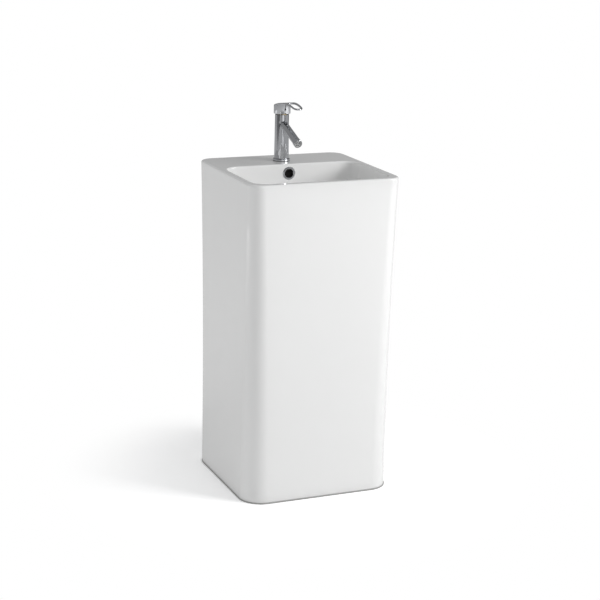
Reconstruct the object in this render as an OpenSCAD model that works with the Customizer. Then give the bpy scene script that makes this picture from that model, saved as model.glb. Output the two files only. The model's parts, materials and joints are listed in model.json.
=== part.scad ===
// Pedestal sink: one-piece ceramic basin and column, single-lever mixer tap,
// push-open waste and bottle trap. Millimetres, +Z up, the front faces -Y.
// The origin is on the floor, under the middle of the outline; the wall plane is +Y.

/* [Ceramic] */
// Width of the basin and column, left to right
basin_w = 415; // [350:1:500]
// Depth from the wall plane to the front of the rim
basin_d = 415; // [350:1:500]
// Height of the rim above the floor
rim_h = 850; // [700:1:1000]
// How far the front face leans back between the rim and the floor
front_lean = 8; // [0:1:14]
// How far the front and side faces bow inwards at half height
face_bow = 3.5; // [0:0.5:6]
// Corner radius of the outline at the rim
rim_corner_r = 38; // [34:1:44]
// Corner radius of the outline at the floor
foot_corner_r = 60; // [54:1:66]
// Ceramic wall thickness
wall = 11; // [10:0.5:13]
// Rounding of the outer rim edge
rim_edge_r = 5; // [3:0.5:6]

/* [Bowl] */
// Width of the rim between the outer face and the bowl wall
rim_w = 19.5; // [17:0.5:24]
// Depth of the flat deck behind the bowl
deck_d = 146; // [140:1:156]
// Depth of the bowl from the rim to the waste
bowl_depth = 122; // [112:1:132]
// Corner radius of the bowl
bowl_corner_r = 42; // [38:1:50]
// Radius between the bowl wall and floor
bowl_fillet_r = 30; // [24:1:34]
// Rounding of the bowl's upper edge
bowl_edge_r = 4; // [3:0.5:5]
// Fall of the bowl floor towards the waste
floor_fall = 9; // [5:0.5:12]
// Thickness of the deck
deck_t = 14; // [12:0.5:16]
// Depth of the overflow hole's axis below the rim
overflow_drop = 25; // [23:0.5:30]
// Outer radius of the overflow ring
overflow_ring_r = 17.5; // [16:0.5:18]

/* [Column] */
// Thickness of the seal between the foot and the floor
floor_seal_t = 3; // [2:0.5:5]
// Width of the foot's flat rim
foot_w = 25; // [20:1:30]
// Width of the back wall left at each side of the service opening
service_side = 92.5; // [85:0.5:105]
// Height of the service opening's lower edge
service_z0 = 60; // [40:1:100]
// Distance from the rim down to the service opening's upper edge
service_drop = 210; // [190:1:240]
// Distance from each side face to its wall bolt
wall_bolt_side = 67.5; // [64:0.5:74]
// Radius of each wall bolt hole
wall_bolt_r = 6; // [4:0.5:7]
// Distance from the rim down to the wall bolts
wall_bolt_drop = 250; // [220:1:290]

/* [Tap] */
// Distance from the wall plane to the tap's axis
tap_setback = 89.5; // [86:0.5:96]
// Height of the tap body above the deck
tap_h = 126; // [105:1:155]
// Radius of the tap body at its foot
tap_foot_r = 19.75; // [19.25:0.25:21]
// Radius of the tap body at its top
tap_top_r = 18.75; // [18.25:0.25:19.25]
// Radius of the round plate under the tap
tap_ring_r = 23; // [22:0.5:26]
// Horizontal reach of the spout from the tap's axis
spout_reach = 116.5; // [100:0.5:130]
// Fall of the spout below the horizontal, in degrees
spout_angle = 20; // [16:1:24]
// Radius of the spout tube
spout_r = 10.5; // [9.75:0.25:10.75]
// Distance from the top of the tap body down to the spout's axis, at the tap's axis
spout_drop = 21; // [20:0.5:23]
// Radius of the lever's cap
cap_r = 22.5; // [22:0.25:25]
// Reach of the lever from the tap's axis to its tip
lever_reach = 118; // [105:1:135]
// Radius of the lever's rounded tip
lever_tip_r = 14; // [12:0.5:16]
// Thickness of the lever
lever_t = 4; // [3:0.5:6]
// Radius of the lever's arched top
lever_arch_r = 200; // [150:5:300]

/* [Waste and trap] */
// Radius of the waste flange
waste_flange_r = 31.5; // [30:0.5:32.5]
// Radius of the waste's threaded tail
waste_tail_r = 20.9; // [20.4:0.1:21.2]
// Travel of the push-open plug
plug_travel = 9; // [6:0.5:10]
// Radius of the trap's pipes
pipe_r = 16; // [15:0.5:16.5]
// Distance from the rim down to the axis of the trap's outlet pipe
outlet_drop = 325; // [315:1:345]
// Radius of the trap's cup
cup_r = 31; // [29:0.5:34]

/* [Hidden] */
$fn = 96;
// Clearances: brazed or screwed joints, running fits, loose holes
joint_gap = 0.1;
run_gap = 0.05;
slack = 0.5;
// Points on each corner of the ceramic's rings
corner_steps = 6;
// Height steps of the ceramic's outer face
face_steps = 10;
front_y = -basin_d / 2;
wall_y = basin_d / 2;
side_x = basin_w / 2;
service_w = basin_w - 2 * service_side;
service_z1 = rim_h - service_drop;
wall_bolt_x = side_x - wall_bolt_side;
wall_bolt_z = rim_h - wall_bolt_drop;
bowl_x = side_x - rim_w;
bowl_y0 = front_y + rim_w;
bowl_y1 = wall_y - deck_d;
bowl_y = (bowl_y0 + bowl_y1) / 2;
bowl_draft = 3;
floor_z = rim_h - bowl_depth;
deck_z = rim_h;
deck_under = rim_h - deck_t;
// Waste seat in the bowl floor, drain hole and its boss
seat_r = waste_flange_r + 1.5;
seat_t = 3;
seat_z = floor_z - seat_t;
drain_r = waste_tail_r + 2.1;
boss_r = 40;
boss_z = seat_z - 35;
flat_r = seat_r + 1.5;
// Overflow passage behind the bowl and under it
overflow_z = rim_h - overflow_drop;
overflow_hole_r = overflow_ring_r - 4;
duct_x = 22;
duct_t = 12;
duct_wall = 8;
duct_y0 = bowl_y1 + wall;
channel_x = 14;
channel_h = 12;
channel_z = boss_z + 10;
// Tap position and its hole in the deck
tap_y = wall_y - tap_setback;
tap_hole_r = 17.5;
shank_r = 16;
base_seal_t = 1.6;
shoulder_h = 7;
shank_down = 8;
inlet_x = 7;
inlet_y = -3;
inlet_r = 4.5;
inlet_len = 14;
stud_y = 9;
stud_r = 4;
stud_up = 6;
stud_len = 80;
plate_r = 25;
rubber_t = 3;
plate_t = 2.5;
plate_slot_x = 13.5;
plate_slot_y = 3.5;
// Cartridge: heights above the deck
chamber_floor_h = tap_h - 42;
chamber_r = 16;
chamber_h = chamber_floor_h + 28;
collar_r = 14.2;
mouth_r = collar_r + joint_gap;
housing_r = 12.5;
housing_top_h = tap_h - 6;
port_floor_h = chamber_floor_h + 8;
disc_t = 4;
disc_r = 9.8;
housing_bore_r = 10;
housing_lip_r = 9;
housing_lip_h = port_floor_h + 13;
nut_top_h = tap_h + 1;
nut_bore_r = 9.5;
moving_disc_r = 8;
moving_disc_t = 3.5;
carrier_base_h = port_floor_h + disc_t + run_gap + moving_disc_t;
carrier_flange_t = 5;
carrier_r = 8.5;
// Lever pivot and what turns on it
pivot_h = tap_h - 10;
pivot_r = 1.5;
carrier_top_h = pivot_h + 5;
carrier_slot_x = 3.1;
carrier_slot_h = pivot_h - 9;
spindle_x = 3;
spindle_low_h = pivot_h - 7;
spindle_top_h = pivot_h + 29;
skirt_h = tap_h + 2;
skirt_in_r = cap_r - 1.3;
boss_low_h = pivot_h + 21;
lever_boss_r = 8;
arm_root_x = cap_r - 2.5;
socket_x = spindle_x + run_gap;
grub_h = pivot_h + 25;
grub_r = 2.5;
plug_r = 2.4;
// The lever's arch: a cylinder along X whose top is this high above the deck
arch_peak_h = tap_h + 37;
arch_peak_reach = 62;
loop_hole_r = lever_tip_r - 5;
loop_hole_y0 = lever_reach - 60;
loop_hole_y1 = lever_reach - lever_tip_r + loop_hole_r;
// Spout: distances along its own axis
spout_axis_h = tap_h - spout_drop;
spout_end = spout_reach / cos(spout_angle);
aerator_len = 14;
spout_tube_end = spout_end - aerator_len;
spout_bore_r = spout_r - 2.5;
spigot_r = spout_r - 1.1;
spigot_len = 5;
aerator_r = spout_r + 0.75;
aerator_bore_r = spigot_r + joint_gap;
aerator_lip_t = 1.5;
// Waste and plug heights
waste_flange_z = seat_z + 1;
waste_flange_t = 3;
waste_low_z = seat_z - 75;
waste_bore_r = waste_tail_r - 3.9;
lower_seal_t = 6;
backnut_t = 10;
guide_z = boss_z;
guide_t = 8;
stem_r = 4;
stem_low_z = guide_z - 4;
plug_under_z = waste_flange_z + waste_flange_t + plug_travel + 0.3;
plug_t = 4;
plug_cap_r = waste_flange_r - 1;
plug_seal_t = 4;
spring_r = 6.5;
spring_wire_r = 0.7;
spring_turns = 6;
// Trap heights
outlet_z = rim_h - outlet_drop;
nut_low_z = waste_low_z - 10;
tube_flange_z = waste_low_z - 5;
head_top_z = outlet_z + 35;
head_low_z = outlet_z - 25;
head_shoulder_z = outlet_z + 20;
head_r = cup_r - 1;
pipe_bore_r = pipe_r - 1.5;
neck_r = pipe_r + 4;
cup_low_z = head_low_z - 70;
outlet_y = bowl_y + 45;
spigot_out = 40;
bead_t = 3;
bead_r = pipe_r + 1.5;

white = [0.93, 0.93, 0.92];
chrome = [0.78, 0.79, 0.80];
steel = [0.66, 0.67, 0.68];
brass = [0.80, 0.68, 0.38];
dark = [0.08, 0.08, 0.09];
grey = [0.62, 0.62, 0.61];
plastic = [0.88, 0.88, 0.86];

// ---- Helpers ----

// Points of a rounded rectangle at height z, anticlockwise from above.
function ring(x0, x1, y0, y1, r, z) = [
    for (c = [0:3])
        for (i = [0:corner_steps])
            let (
                a = 90 * c + 90 * i / corner_steps,
                cx = (c == 0 || c == 3) ? x1 - r : x0 + r,
                cy = (c == 0 || c == 1) ? y1 - r : y0 + r
            )
            [cx + r * cos(a), cy + r * sin(a), z]
];

// Closed solid through rings of equal length, from the lowest to the highest.
module loft(rings) {
    n = len(rings[0]);
    m = len(rings);
    low = [[for (i = [0:n - 1]) i]];
    high = [[for (i = [n - 1:-1:0]) (m - 1) * n + i]];
    sides = [
        for (j = [0:m - 2])
            for (i = [0:n - 1])
                for (half = [0, 1])
                    let (k = (i + 1) % n)
                    half == 0
                        ? [j * n + i, (j + 1) * n + i, (j + 1) * n + k]
                        : [j * n + i, (j + 1) * n + k, j * n + k]
    ];
    polyhedron(points = [for (g = rings) for (p = g) p], faces = concat(low, sides, high));
}

// The ceramic's outline at height z, moved inwards by g.
function body_ring(z, g) =
    let (
        t = min(1, (z - floor_seal_t) / (rim_h - rim_edge_r - floor_seal_t)),
        bow = face_bow * 4 * t * (1 - t),
        r = foot_corner_r + (rim_corner_r - foot_corner_r) * t
    )
    ring(
        -side_x + bow + g, side_x - bow - g,
        front_y + front_lean * (1 - t) + bow + g, wall_y - g,
        r - g, z
    );

// The bowl's outline at height z, moved inwards by g.
function bowl_ring(z, g) =
    ring(-bowl_x + g, bowl_x - g, bowl_y0 + g, bowl_y1 - g, bowl_corner_r - g * 0.5, z);

// A small round outline about the waste.
function drain_ring(r, z) = ring(-r, r, bowl_y - r, bowl_y + r, r - 1.5, z);

// The bowl's surface, from the waste up to its upper edge; grow thickens it outwards.
function bowl_rings(grow) =
    let (
        edge_z = floor_z + floor_fall,
        f = bowl_fillet_r,
        straight_z = rim_h - 50
    )
    concat(
        [drain_ring(flat_r + grow, floor_z - grow)],
        [for (a = [0:18:90])
            bowl_ring(edge_z - grow + f - f * cos(a), bowl_draft + f - f * sin(a) - grow)],
        [bowl_ring(straight_z, -grow)]
    );

module tube(r_out, r_in, h) {
    difference() {
        cylinder(r = r_out, h = h);
        translate([0, 0, -1])
            cylinder(r = r_in, h = h + 2);
    }
}

// Moves children to the tap's axis at deck height.
module at_tap(h = 0) {
    translate([0, tap_y, deck_z + h])
        children();
}

// Moves children onto the spout's axis, a distance along it from the tap's axis.
module at_spout(a = 0) {
    at_tap(spout_axis_h)
        rotate([90 + spout_angle, 0, 0])
            translate([0, 0, a])
                children();
}

// Moves children to the waste's axis.
module at_waste(z = 0) {
    translate([0, bowl_y, z])
        children();
}

// Moves children onto the outlet pipe's axis, pointing at the wall.
module at_outlet(y = 0) {
    translate([0, y, outlet_z])
        rotate([-90, 0, 0])
            children();
}

// Hexagonal nut blank with a round bore; across is its width across flats.
module hex_ring(across, r_in, h) {
    difference() {
        cylinder(r = across / sqrt(3), h = h, $fn = 6);
        translate([0, 0, -1])
            cylinder(r = r_in, h = h + 2);
    }
}

// Round wire wound round the Z axis.
module coil(r, wire_r, h, turns) {
    per_turn = 24;
    sides = 8;
    count = turns * per_turn;
    pts = [
        for (i = [0:count])
            for (k = [0:sides - 1])
                let (
                    a = 360 * i / per_turn,
                    b = 360 * k / sides,
                    q = r + wire_r * cos(b)
                )
                [q * cos(a), q * sin(a), wire_r + (h - 2 * wire_r) * i / count + wire_r * sin(b)]
    ];
    first = [[for (k = [0:sides - 1]) k]];
    last = [[for (k = [sides - 1:-1:0]) count * sides + k]];
    skin = [
        for (i = [0:count - 1])
            for (k = [0:sides - 1])
                for (half = [0, 1])
                    let (
                        k2 = (k + 1) % sides,
                        p = i * sides,
                        q = (i + 1) * sides
                    )
                    half == 0 ? [p + k, q + k, q + k2] : [p + k, q + k2, p + k2]
    ];
    polyhedron(points = pts, faces = concat(first, skin, last));
}

// ---- Ceramic ----

module ceramic_outer() {
    top_z = rim_h - rim_edge_r;
    loft(concat(
        [for (i = [0:face_steps])
            body_ring(floor_seal_t + (top_z - floor_seal_t) * i / face_steps, 0)],
        [for (a = [30:30:90])
            body_ring(top_z + rim_edge_r * sin(a), rim_edge_r * (1 - cos(a)))]
    ));
}

// The hollow of the column, open at the foot and closed by the deck.
module ceramic_cavity() {
    foot_z = floor_seal_t + 12;
    slope_z = foot_z + 18;
    loft(concat(
        [body_ring(floor_seal_t - 1, foot_w), body_ring(foot_z, foot_w)],
        [for (i = [0:5])
            body_ring(slope_z + (deck_under - slope_z) * i / 5, wall)]
    ));
}

module bowl_hollow() {
    low = bowl_rings(0);
    loft(concat(
        low,
        [for (a = [0:30:90])
            bowl_ring(rim_h - bowl_edge_r + bowl_edge_r * sin(a), -bowl_edge_r * (1 - cos(a)))],
        [bowl_ring(rim_h + 1, -bowl_edge_r)]
    ));
}

// The ceramic that surrounds the bowl, the waste and the overflow passage.
module bowl_shell() {
    loft(concat(bowl_rings(wall), [bowl_ring(deck_under + 2, -wall)]));
    at_waste(boss_z)
        cylinder(r = boss_r, h = floor_z - boss_z);
    translate([-duct_x - duct_wall, bowl_y1, boss_z])
        cube([2 * (duct_x + duct_wall), wall + duct_t + duct_wall, deck_under + 2 - boss_z]);
    translate([-duct_x - duct_wall, bowl_y, boss_z])
        cube([2 * (duct_x + duct_wall), bowl_y1 - bowl_y + 2, floor_z - boss_z]);
}

module overflow_passage() {
    translate([-duct_x, duct_y0, channel_z])
        cube([2 * duct_x, duct_t, deck_under - 2 - channel_z]);
    translate([-channel_x, bowl_y, channel_z])
        cube([2 * channel_x, duct_y0 + 1 - bowl_y, channel_h]);
    translate([0, bowl_y1 - 5, overflow_z])
        rotate([-90, 0, 0])
            cylinder(r = overflow_hole_r, h = wall + 6);
}

module service_opening() {
    translate([0, wall_y + 1, 0])
        rotate([90, 0, 0])
            linear_extrude(height = wall + 8)
                rounded_rect(service_w, service_z0, service_z1, 30);
}

module rounded_rect(w, y0, y1, r) {
    translate([-w / 2 + r, y0])
        square([w - 2 * r, y1 - y0]);
    translate([-w / 2, y0 + r])
        square([w, y1 - y0 - 2 * r]);
    for (x = [-w / 2 + r, w / 2 - r])
        for (y = [y0 + r, y1 - r])
            translate([x, y])
                circle(r = r);
}

// The whole casting: basin and column are cast apart and luted together before firing.
module ceramic_shape() {
    difference() {
        ceramic_outer();
        difference() {
            ceramic_cavity();
            bowl_shell();
        }
        bowl_hollow();
        overflow_passage();
        at_waste(seat_z)
            cylinder(r = seat_r, h = seat_t + 1);
        at_waste(boss_z - 1)
            cylinder(r = drain_r, h = floor_z - boss_z);
        at_tap(-deck_t - 5)
            cylinder(r = tap_hole_r, h = deck_t + 10);
        service_opening();
        for (x = [-wall_bolt_x, wall_bolt_x])
            translate([x, wall_y - wall - 4, wall_bolt_z])
                rotate([-90, 0, 0])
                    cylinder(r = wall_bolt_r, h = wall + 8);
    }
}

module ceramic_basin() {
    color(white)
        intersection() {
            ceramic_shape();
            translate([-basin_w, -basin_d, boss_z])
                cube([2 * basin_w, 2 * basin_d, rim_h]);
        }
}

module ceramic_column() {
    color(white)
        intersection() {
            ceramic_shape();
            translate([-basin_w, -basin_d, 0])
                cube([2 * basin_w, 2 * basin_d, boss_z]);
        }
}

// Silicone bead under the foot, standing a little proud at the front and sides.
module floor_seal() {
    proud = 1.5;
    r = foot_corner_r;
    color(grey)
        difference() {
            translate([0, 0, 0])
                linear_extrude(height = floor_seal_t)
                    seal_outline(proud, r + proud);
            translate([0, 0, -1])
                linear_extrude(height = floor_seal_t + 2)
                    seal_outline(-foot_w + 3, r - foot_w + 3);
        }
}

module seal_outline(grow, r) {
    x = side_x + grow;
    y0 = front_y + front_lean - grow;
    y1 = min(wall_y, wall_y + grow);
    translate([-x + r, y0])
        square([2 * (x - r), y1 - y0]);
    translate([-x, y0 + r])
        square([2 * x, y1 - y0 - 2 * r]);
    for (cx = [-x + r, x - r])
        for (cy = [y0 + r, y1 - r])
            translate([cx, cy])
                circle(r = r);
}

module overflow_ring() {
    lip = 1.8;
    sleeve_r = overflow_hole_r - joint_gap;
    bore_r = sleeve_r - 1.2;
    color(chrome)
        translate([0, bowl_y1, overflow_z])
            rotate([-90, 0, 0])
                rotate_extrude()
                    polygon([
                        [bore_r, wall - 2], [bore_r, -lip + 0.6], [bore_r + 0.6, -lip],
                        [overflow_ring_r - 1.2, -lip], [overflow_ring_r, -lip + 1.2],
                        [overflow_ring_r, 0], [sleeve_r, 0], [sleeve_r, wall - 2]
                    ]);
}

// ---- Tap ----

module tap_body() {
    color(chrome)
        difference() {
            union() {
                at_tap()
                    rotate_extrude()
                        polygon([
                            [0, shoulder_h], [tap_foot_r - 0.8, shoulder_h],
                            [tap_foot_r, shoulder_h + 0.8], [tap_top_r, tap_h - 0.6],
                            [tap_top_r - 0.6, tap_h], [0, tap_h]
                        ]);
                at_tap(-shank_down)
                    cylinder(r = shank_r, h = shank_down + shoulder_h + 2);
            }
            at_tap(chamber_floor_h)
                cylinder(r = chamber_r, h = chamber_h - chamber_floor_h);
            at_tap(chamber_h - 1)
                cylinder(r = mouth_r, h = tap_h - chamber_h + 2);
            at_spout()
                cylinder(r = spout_r + joint_gap / 2, h = 40);
            for (x = [-inlet_x, inlet_x]) {
                at_tap(-shank_down - 1)
                    translate([x, inlet_y, 0])
                        cylinder(r = inlet_r, h = inlet_len + 1);
                at_tap(0)
                    translate([x, inlet_y, 0])
                        cylinder(r = inlet_r - 1, h = chamber_floor_h + 1);
            }
            at_tap(-shank_down - 1)
                translate([0, stud_y, 0])
                    cylinder(r = stud_r + run_gap, h = stud_up + 1);
        }
}

module tap_base_ring() {
    color(chrome)
        at_tap()
            rotate_extrude()
                polygon([
                    [shank_r + joint_gap, base_seal_t], [tap_ring_r, base_seal_t],
                    [tap_ring_r, shoulder_h - 1.5], [tap_ring_r - 1.5, shoulder_h],
                    [shank_r + joint_gap, shoulder_h]
                ]);
}

module tap_base_seal() {
    color(dark)
        at_tap()
            tube(tap_ring_r - 0.6, shank_r + 1, base_seal_t);
}

module spout_tube() {
    color(chrome)
        difference() {
            union() {
                at_spout(5)
                    cylinder(r = spout_r, h = spout_tube_end - 5);
                at_spout(5)
                    cylinder(r = spigot_r, h = spout_tube_end - 5 + spigot_len);
            }
            at_spout()
                cylinder(r = spout_bore_r, h = spout_end);
            at_tap(chamber_floor_h - 10)
                cylinder(r = chamber_r, h = 60);
        }
}

module aerator_housing() {
    color(chrome)
        difference() {
            at_spout(spout_tube_end)
                rotate_extrude()
                    polygon([
                        [0, 0], [aerator_r, 0], [aerator_r, aerator_len - 0.6],
                        [aerator_r - 0.6, aerator_len], [0, aerator_len]
                    ]);
            at_spout(spout_tube_end - 1)
                cylinder(r = aerator_bore_r, h = aerator_len + 1 - aerator_lip_t);
            at_spout(spout_tube_end - 1)
                cylinder(r = aerator_bore_r - 1, h = aerator_len + 2);
        }
}

module aerator_washer() {
    color(dark)
        at_spout(spout_tube_end + spigot_len)
            tube(spigot_r, spout_bore_r - 0.4, 1.2);
}

module aerator_insert() {
    a = spigot_len + 1.2;
    color(plastic)
        at_spout(spout_tube_end + a)
            difference() {
                cylinder(r = spigot_r, h = aerator_len - aerator_lip_t - a);
                translate([0, 0, -1])
                    cylinder(r = spigot_r - 2, h = 4);
                for (k = [0:5])
                    rotate([0, 0, 60 * k])
                        translate([4.4, 0, -1])
                            cylinder(r = 1.6, h = aerator_len, $fn = 24);
            }
}

module cartridge_housing() {
    color(plastic)
        difference() {
            union() {
                at_tap(chamber_floor_h)
                    cylinder(r = housing_r, h = housing_top_h - chamber_floor_h);
                at_tap(chamber_h)
                    cylinder(r = collar_r, h = housing_top_h - chamber_h);
            }
            at_tap(port_floor_h)
                cylinder(r = housing_bore_r, h = housing_lip_h - port_floor_h);
            at_tap(port_floor_h)
                cylinder(r = housing_lip_r, h = 60);
            for (x = [-inlet_x, inlet_x])
                at_tap(chamber_floor_h - 1)
                    translate([x, inlet_y, 0])
                        cylinder(r = inlet_r - 1.5, h = 12);
            at_tap(chamber_floor_h - 1)
                translate([-3, -housing_r - 1, 0])
                    cube([6, housing_r - 4, 8]);
            at_tap(chamber_floor_h - 1)
                translate([0, -6, 0])
                    cylinder(r = 2, h = 12);
        }
}

module cartridge_seal() {
    color(dark)
        at_tap(chamber_h)
            translate([0, 0, -2])
                tube(chamber_r - 0.2, housing_r + run_gap, 2);
}

module disc_ports(h) {
    for (x = [-inlet_x, inlet_x])
        translate([x * 0.75, inlet_y + 2, -1])
            cylinder(r = 1.9, h = h + 2);
    translate([0, -5.4, -1])
        cylinder(r = 1.7, h = h + 2);
}

module fixed_disc() {
    color(white)
        at_tap(port_floor_h)
            difference() {
                cylinder(r = disc_r, h = disc_t);
                disc_ports(disc_t);
            }
}

module moving_disc() {
    color(white)
        at_tap(port_floor_h + disc_t + run_gap)
            difference() {
                cylinder(r = moving_disc_r, h = moving_disc_t);
                translate([0, -1, -1])
                    cylinder(r = 3, h = 2.5);
            }
}

module cartridge_carrier() {
    color(plastic)
        difference() {
            union() {
                at_tap(carrier_base_h)
                    cylinder(r = housing_bore_r - run_gap, h = carrier_flange_t);
                at_tap(carrier_base_h)
                    cylinder(r = carrier_r, h = carrier_top_h - carrier_base_h);
            }
            at_tap(carrier_slot_h)
                translate([-carrier_slot_x, -20, 0])
                    cube([2 * carrier_slot_x, 40, 40]);
            at_tap(pivot_h)
                translate([-20, 0, 0])
                    rotate([0, 90, 0])
                        cylinder(r = pivot_r, h = 40);
        }
}

module pivot_pin() {
    color(steel)
        at_tap(pivot_h)
            translate([-carrier_r + 0.3, 0, 0])
                rotate([0, 90, 0])
                    cylinder(r = pivot_r, h = 2 * (carrier_r - 0.3));
}

module cartridge_nut() {
    key_r = (nut_bore_r + collar_r) / 2;
    color(brass)
        at_tap(housing_top_h)
            difference() {
                tube(collar_r, nut_bore_r, nut_top_h - housing_top_h);
                for (k = [0:3])
                    rotate([0, 0, 90 * k + 45])
                        translate([key_r - 1.5, -2, nut_top_h - housing_top_h - 2])
                            cube([6, 4, 4]);
            }
}

module mounting_stud() {
    color(steel)
        at_tap(-shank_down + stud_up - stud_len)
            translate([0, stud_y, 0])
                cylinder(r = stud_r, h = stud_len);
}

// C-shaped outline that passes the supply hoses at its open side.
module horseshoe(t) {
    difference() {
        cylinder(r = plate_r, h = t);
        translate([-plate_slot_x, -plate_r - 5, -1])
            cube([2 * plate_slot_x, plate_r + 5 + plate_slot_y, t + 2]);
        translate([0, stud_y, -1])
            cylinder(r = stud_r + slack, h = t + 2);
    }
}

module horseshoe_rubber() {
    color(dark)
        at_tap(-deck_t - rubber_t)
            horseshoe(rubber_t);
}

module horseshoe_plate() {
    color(steel)
        at_tap(-deck_t - rubber_t - plate_t)
            horseshoe(plate_t);
}

module stud_nut() {
    nut_h = 7;
    color(brass)
        at_tap(-deck_t - rubber_t - plate_t - nut_h)
            translate([0, stud_y, 0])
                hex_ring(13, stud_r + joint_gap, nut_h);
}

// ---- Lever ----

// Plan outline of the arm: it starts inside the cap and narrows to a rounded tip.
module arm_outline() {
    tip_y = -(lever_reach - lever_tip_r);
    root_y = -cap_r / 3;
    lean = asin((arm_root_x - lever_tip_r) / (root_y - tip_y));
    c = cos(lean);
    s = sin(lean);
    translate([0, tip_y])
        circle(r = lever_tip_r);
    polygon([
        [arm_root_x, root_y], [-arm_root_x, root_y],
        [-lever_tip_r * c, tip_y - lever_tip_r * s], [lever_tip_r * c, tip_y - lever_tip_r * s]
    ]);
}

// Long hole of the lever's loop.
module loop_hole() {
    for (y = [-loop_hole_y0 - loop_hole_r, -loop_hole_y1 + loop_hole_r])
        translate([0, y])
            circle(r = loop_hole_r);
    translate([-loop_hole_r, -loop_hole_y1 + loop_hole_r])
        square([2 * loop_hole_r, loop_hole_y1 - loop_hole_y0 - 2 * loop_hole_r]);
}

// Cylinder along X whose top follows the lever's arch, lowered by drop.
module arch(drop) {
    translate([-60, -arch_peak_reach, arch_peak_h - lever_arch_r])
        rotate([0, 90, 0])
            cylinder(r = lever_arch_r - drop, h = 120, $fn = 360);
}

module lever_handle() {
    color(chrome)
        at_tap()
            difference() {
                union() {
                    intersection() {
                        arch(0);
                        translate([0, 0, skirt_h])
                            cylinder(r = cap_r, h = 60);
                    }
                    intersection() {
                        difference() {
                            arch(0);
                            arch(lever_t);
                        }
                        translate([0, 0, skirt_h])
                            linear_extrude(height = 80)
                                arm_outline();
                    }
                }
                difference() {
                    intersection() {
                        arch(lever_t);
                        translate([0, 0, skirt_h - 1])
                            cylinder(r = skirt_in_r, h = 60);
                    }
                    translate([0, 0, boss_low_h])
                        cylinder(r = lever_boss_r, h = 60);
                }
                translate([0, 0, skirt_h])
                    linear_extrude(height = 80)
                        loop_hole();
                translate([-socket_x, -socket_x, boss_low_h - 1])
                    cube([2 * socket_x, 2 * socket_x, spindle_top_h - boss_low_h + 1.5]);
                translate([0, 0, grub_h])
                    rotate([90, 0, 0])
                        cylinder(r = grub_r + run_gap, h = 15);
                translate([0, -15, grub_h])
                    rotate([90, 0, 0])
                        cylinder(r = plug_r + run_gap, h = 15);
            }
}

module lever_spindle() {
    color(steel)
        at_tap()
            difference() {
                translate([-spindle_x, -spindle_x, spindle_low_h])
                    cube([2 * spindle_x, 2 * spindle_x, spindle_top_h - spindle_low_h]);
                translate([-10, 0, pivot_h])
                    rotate([0, 90, 0])
                        cylinder(r = pivot_r + run_gap, h = 20);
            }
}

module grub_screw() {
    color(dark)
        at_tap(grub_h)
            rotate([90, 0, 0])
                difference() {
                    translate([0, 0, spindle_x])
                        cylinder(r = grub_r, h = 6);
                    translate([0, 0, spindle_x + 3.5])
                        cylinder(r = 1.4, h = 4, $fn = 6);
                }
}

module index_plug() {
    color(dark)
        at_tap(grub_h)
            rotate([90, 0, 0])
                intersection() {
                    cylinder(r = plug_r, h = cap_r + 0.4);
                    translate([-5, -5, skirt_in_r - 3])
                        cube([10, 10, 10]);
                }
}

// ---- Waste ----

module waste_body() {
    color(chrome)
        difference() {
            at_waste()
                rotate_extrude()
                    polygon([
                        [waste_bore_r, waste_low_z], [waste_tail_r, waste_low_z],
                        [waste_tail_r, waste_flange_z], [waste_flange_r, waste_flange_z],
                        [waste_flange_r, waste_flange_z + waste_flange_t - 2],
                        [waste_flange_r - 2, waste_flange_z + waste_flange_t],
                        [waste_bore_r + 2, waste_flange_z + waste_flange_t],
                        [waste_bore_r, waste_flange_z + waste_flange_t - 2]
                    ]);
            for (k = [0:3])
                at_waste(channel_z)
                    rotate([0, 0, 90 * k])
                        translate([0, -5, 0])
                            cube([waste_tail_r + 2, 10, channel_h]);
        }
}

module waste_upper_seal() {
    color(dark)
        at_waste(seat_z)
            tube(waste_flange_r - 1, waste_tail_r + joint_gap, 1);
}

module waste_lower_seal() {
    color(dark)
        at_waste(boss_z - lower_seal_t)
            tube(waste_tail_r + 10, waste_tail_r + joint_gap, lower_seal_t);
}

module waste_backnut() {
    color(brass)
        at_waste(boss_z - lower_seal_t - backnut_t)
            hex_ring(2 * (waste_tail_r + 6.1), waste_tail_r + joint_gap, backnut_t);
}

// Spider in the waste's tail that guides the plug's stem.
module click_guide() {
    arm_t = guide_t - 2;
    color(plastic)
        at_waste(guide_z)
            difference() {
                union() {
                    cylinder(r = 8, h = guide_t);
                    tube(waste_bore_r - joint_gap, waste_bore_r - 2.5, guide_t);
                    for (k = [0:2])
                        rotate([0, 0, 120 * k + 45])
                            translate([6, -1.5, 1])
                                cube([waste_bore_r - 7.5, 3, arm_t]);
                }
                translate([0, 0, -1])
                    cylinder(r = stem_r + run_gap, h = guide_t + 2);
            }
}

module click_spring() {
    low_z = guide_z + guide_t;
    color(steel)
        at_waste(low_z)
            coil(spring_r, spring_wire_r, plug_under_z - plug_seal_t - 0.3 - low_z, spring_turns);
}

module plug_cap() {
    color(chrome)
        at_waste(plug_under_z)
            rotate_extrude()
                polygon([
                    [0, 0], [plug_cap_r - 1, 0], [plug_cap_r, 0.8], [plug_cap_r - 0.6, 1.8],
                    [plug_cap_r - 6, 3], [plug_cap_r - 16, plug_t - 0.3], [0, plug_t]
                ]);
}

module plug_seal() {
    color(dark)
        at_waste(plug_under_z - plug_seal_t)
            tube(waste_bore_r - 0.4, stem_r + run_gap, plug_seal_t);
}

module plug_stem() {
    color(brass)
        at_waste(stem_low_z)
            cylinder(r = stem_r, h = plug_under_z - stem_low_z);
}

// ---- Bottle trap ----

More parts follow.
